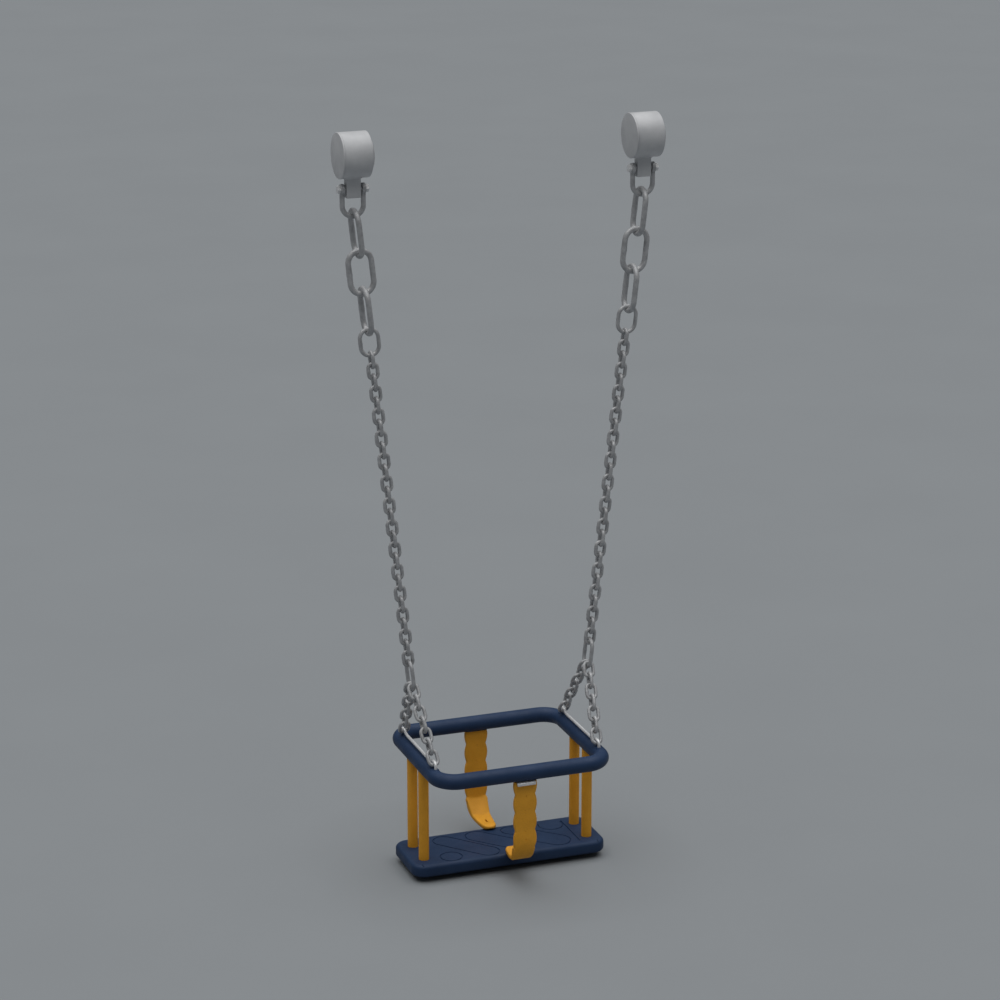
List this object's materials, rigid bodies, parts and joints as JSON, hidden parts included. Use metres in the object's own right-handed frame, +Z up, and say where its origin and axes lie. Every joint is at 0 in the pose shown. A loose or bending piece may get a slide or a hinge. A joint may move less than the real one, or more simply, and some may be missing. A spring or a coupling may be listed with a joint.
{
  "type": "toddler bucket swing",
  "caption": "Cradle seat of a rubber hoop, posts, straps and a plank, hung on steel chains, shackles and bearing hangers for a swing frame's beam.",
  "frame": {"origin": "midpoint between the two hangers on their common bearing axis", "axes": "+Z up, +X along the beam-side bearing axis from the left hanger to the right one as seen from the front, -Y the front"},
  "size_m": [0.7132, 0.3514, 1.6392],
  "materials": {
    "hanger_paint": "smooth satin light grey paint, slightly dusty",
    "galvanised_steel": "hot-dip galvanised, dull with a faint mottle, worn bright where links bear",
    "bright_steel": "bright zinc plate",
    "bronze": "plain turned bearing bronze",
    "navy_rubber": "moulded satin navy rubber with shallow relief grooves",
    "yellow_rubber": "matt yellow-orange rubber with fine dark speckle"
  },
  "bodies": {
    "hanger_axles": {"left_hanger_axle": "galvanised_steel", "left_axle_nut": "galvanised_steel", "right_hanger_axle": "galvanised_steel", "right_axle_nut": "galvanised_steel"},
    "left_hanger": {"left_hanger_housing": "hanger_paint", "left_hanger_end_cover": "hanger_paint", "left_outer_bush": "bronze", "left_inner_bush": "bronze"},
    "left_shackle_set": {"left_shackle": "galvanised_steel", "left_shackle_bolt": "bright_steel", "left_shackle_nut": "bright_steel"},
    "left_line": {"left_big_link_1": "galvanised_steel", "left_big_link_2": "galvanised_steel", "left_big_link_3": "galvanised_steel", "left_connecting_link": "galvanised_steel", "left_main_chain": "galvanised_steel"},
    "left_drop_link": {"left_long_link": "galvanised_steel"},
    "right_hanger": {"right_hanger_housing": "hanger_paint", "right_hanger_end_cover": "hanger_paint", "right_outer_bush": "bronze", "right_inner_bush": "bronze"},
    "right_shackle_set": {"right_shackle": "galvanised_steel", "right_shackle_bolt": "bright_steel", "right_shackle_nut": "bright_steel"},
    "right_line": {"right_big_link_1": "galvanised_steel", "right_big_link_2": "galvanised_steel", "right_big_link_3": "galvanised_steel", "right_connecting_link": "galvanised_steel", "right_main_chain": "galvanised_steel"},
    "right_drop_link": {"right_long_link": "galvanised_steel"},
    "cradle_seat": {"hoop_cover": "navy_rubber", "hoop_core": "galvanised_steel", "seat_rubber": "navy_rubber", "seat_insert": "galvanised_steel", "left_staple": "bright_steel", "right_staple": "bright_steel", "left_front_vee_chain": "galvanised_steel", "left_rear_vee_chain": "galvanised_steel", "right_front_vee_chain": "galvanised_steel", "right_rear_vee_chain": "galvanised_steel", "left_front_post_sleeve": "yellow_rubber", "left_front_tie_bolt": "bright_steel", "left_rear_post_sleeve": "yellow_rubber", "left_rear_tie_bolt": "bright_steel", "right_front_post_sleeve": "yellow_rubber", "right_front_tie_bolt": "bright_steel", "right_rear_post_sleeve": "yellow_rubber", "right_rear_tie_bolt": "bright_steel", "front_strap_bracket": "bright_steel", "rear_strap_bracket": "bright_steel", "front_bracket_screw_left": "bright_steel", "front_bracket_screw_right": "bright_steel", "rear_bracket_screw_left": "bright_steel", "rear_bracket_screw_right": "bright_steel"},
    "front_strap_flap": {"front_strap": "yellow_rubber"},
    "rear_strap_flap": {"rear_strap": "yellow_rubber"}
  },
  "joints": [
    {"name": "left_hanger_swing", "type": "hinge", "parent": "hanger_axles", "child": "left_hanger", "pos_m": [-0.3215, 0, 0], "axis": [1, 0, 0], "range_deg": [-60, 60]},
    {"name": "left_shackle_swing", "type": "hinge", "parent": "left_hanger", "child": "left_shackle_set", "pos_m": [-0.3215, 0, -0.0705], "axis": [1, 0, 0], "range_deg": [-45, 45]},
    {"name": "left_line_sway", "type": "hinge", "parent": "left_shackle_set", "child": "left_line", "pos_m": [-0.32026, 0, -0.1164], "axis": [0, 1, 0], "range_deg": [-4, 4]},
    {"name": "left_drop_link_tilt", "type": "hinge", "parent": "left_line", "child": "left_drop_link", "pos_m": [-0.20998, 0, -1.11448], "axis": [0, 1, 0], "range_deg": [-6.15, 6.15]},
    {"name": "right_hanger_swing", "type": "hinge", "parent": "hanger_axles", "child": "right_hanger", "pos_m": [0.3215, 0, 0], "axis": [1, 0, 0], "range_deg": [-60, 60]},
    {"name": "right_shackle_swing", "type": "hinge", "parent": "right_hanger", "child": "right_shackle_set", "pos_m": [0.3215, 0, -0.0705], "axis": [1, 0, 0], "range_deg": [-45, 45]},
    {"name": "right_line_sway", "type": "hinge", "parent": "right_shackle_set", "child": "right_line", "pos_m": [0.32026, 0, -0.1164], "axis": [0, 1, 0], "range_deg": [-4, 4]},
    {"name": "right_drop_link_tilt", "type": "hinge", "parent": "right_line", "child": "right_drop_link", "pos_m": [0.20998, 0, -1.11448], "axis": [0, 1, 0], "range_deg": [-6.15, 6.15]},
    {"name": "seat_pitch", "type": "hinge", "parent": "left_drop_link", "child": "cradle_seat", "pos_m": [-0.20509, 0, -1.15871], "axis": [1, 0, 0], "range_deg": [-25, 25]},
    {"name": "front_strap_flex", "type": "hinge", "parent": "cradle_seat", "child": "front_strap_flap", "pos_m": [0, -0.1583, -1.36457], "axis": [1, 0, 0], "range_deg": [0, 16]},
    {"name": "rear_strap_flex", "type": "hinge", "parent": "cradle_seat", "child": "rear_strap_flap", "pos_m": [0, 0.1583, -1.36457], "axis": [-1, 0, 0], "range_deg": [0, 16]}
  ],
  "couplings": [
    {"joint": "right_hanger_swing", "follows": "left_hanger_swing", "ratio": 1},
    {"joint": "right_shackle_swing", "follows": "left_shackle_swing", "ratio": 1},
    {"joint": "right_line_sway", "follows": "left_line_sway", "ratio": 1},
    {"joint": "left_drop_link_tilt", "follows": "left_line_sway", "ratio": -1.5252},
    {"joint": "right_drop_link_tilt", "follows": "left_line_sway", "ratio": -1.5252}
  ]
}
